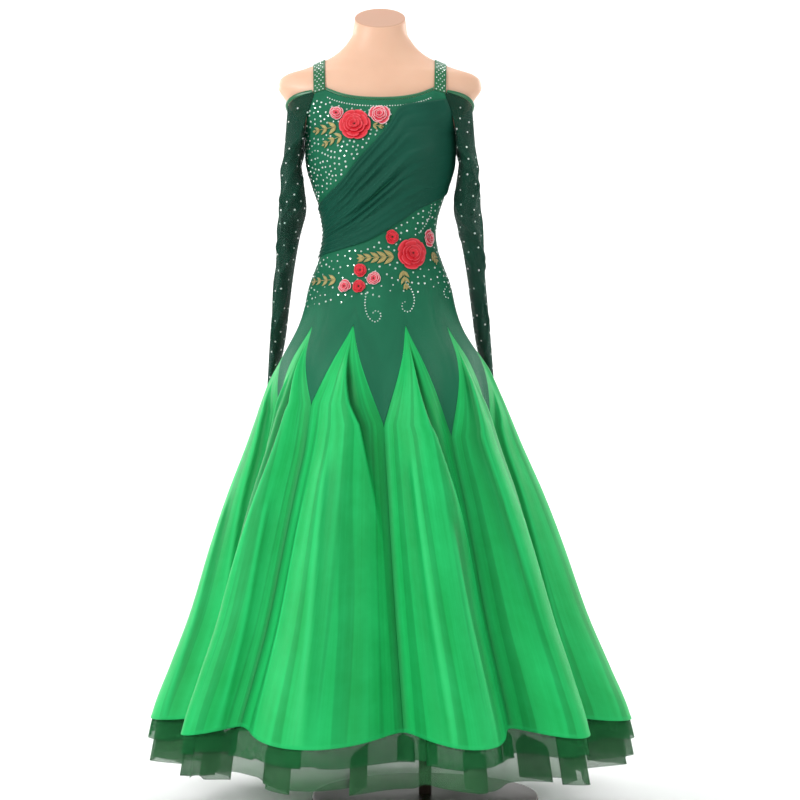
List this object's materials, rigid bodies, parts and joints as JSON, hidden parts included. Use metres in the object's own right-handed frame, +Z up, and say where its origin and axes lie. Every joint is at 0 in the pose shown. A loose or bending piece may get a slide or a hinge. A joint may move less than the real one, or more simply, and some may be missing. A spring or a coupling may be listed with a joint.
{
  "type": "ballroom dance dress on a dress form",
  "caption": "Full-length ballroom dance dress with off-shoulder net sleeves, a fluted godet skirt and a crinoline hem, on an armless dress form with a pole stand.",
  "frame": {"origin": "on the floor, on the underside of the base, straight below the body's axis", "axes": "+Z up, -Y out of the front of the dress, +X towards the side with the higher end of the drape"},
  "size_m": [0.919, 0.8203, 1.5545],
  "materials": {
    "bodice_jersey": "matt stretch jersey",
    "drape_jersey": "matt ruched stretch jersey",
    "satin_binding": "soft satin",
    "sleeve_net": "sheer stretch net",
    "skirt_organza": "crisp sheer organza",
    "hem_crinoline": "stiff crinoline net",
    "rose_applique": "embroidered",
    "leaf_applique": "metallic thread embroidery",
    "form_skin": "smooth satin plastic",
    "stand_steel": "painted"
  },
  "bodies": {
    "root": {"bodice_front": "bodice_jersey", "bodice_back": "bodice_jersey", "drape_front": "drape_jersey", "strap_left": "satin_binding", "strap_right": "satin_binding", "binding_neck_front": "satin_binding", "binding_neck_back": "satin_binding", "binding_shoulder_left": "satin_binding", "binding_shoulder_right": "satin_binding", "sleeve_left": "sleeve_net", "sleeve_right": "sleeve_net", "skirt_panel_01": "skirt_organza", "skirt_panel_02": "skirt_organza", "skirt_panel_03": "skirt_organza", "skirt_panel_04": "skirt_organza", "skirt_panel_05": "skirt_organza", "skirt_panel_06": "skirt_organza", "skirt_panel_07": "skirt_organza", "skirt_panel_08": "skirt_organza", "skirt_panel_09": "skirt_organza", "skirt_panel_10": "skirt_organza", "crinoline_upper": "hem_crinoline", "crinoline_lower": "hem_crinoline", "rose_chest_main": "rose_applique", "rose_chest_small": "rose_applique", "rose_chest_side": "rose_applique", "rose_hip_main": "rose_applique", "rose_hip_upper": "rose_applique", "rose_hip_bud": "rose_applique", "rose_hip_trail_1": "rose_applique", "rose_hip_trail_2": "rose_applique", "rose_hip_trail_3": "rose_applique", "rose_hip_trail_4": "rose_applique", "leaf_chest_outer": "leaf_applique", "leaf_chest_lower": "leaf_applique", "leaf_chest_inner": "leaf_applique", "leaf_hip_spray": "leaf_applique", "leaf_hip_side": "leaf_applique", "leaf_hip_trail": "leaf_applique", "leaf_hip_lower": "leaf_applique", "form_torso": "form_skin", "stand_pole": "stand_steel", "stand_base": "stand_steel"}
  },
  "joints": []
}
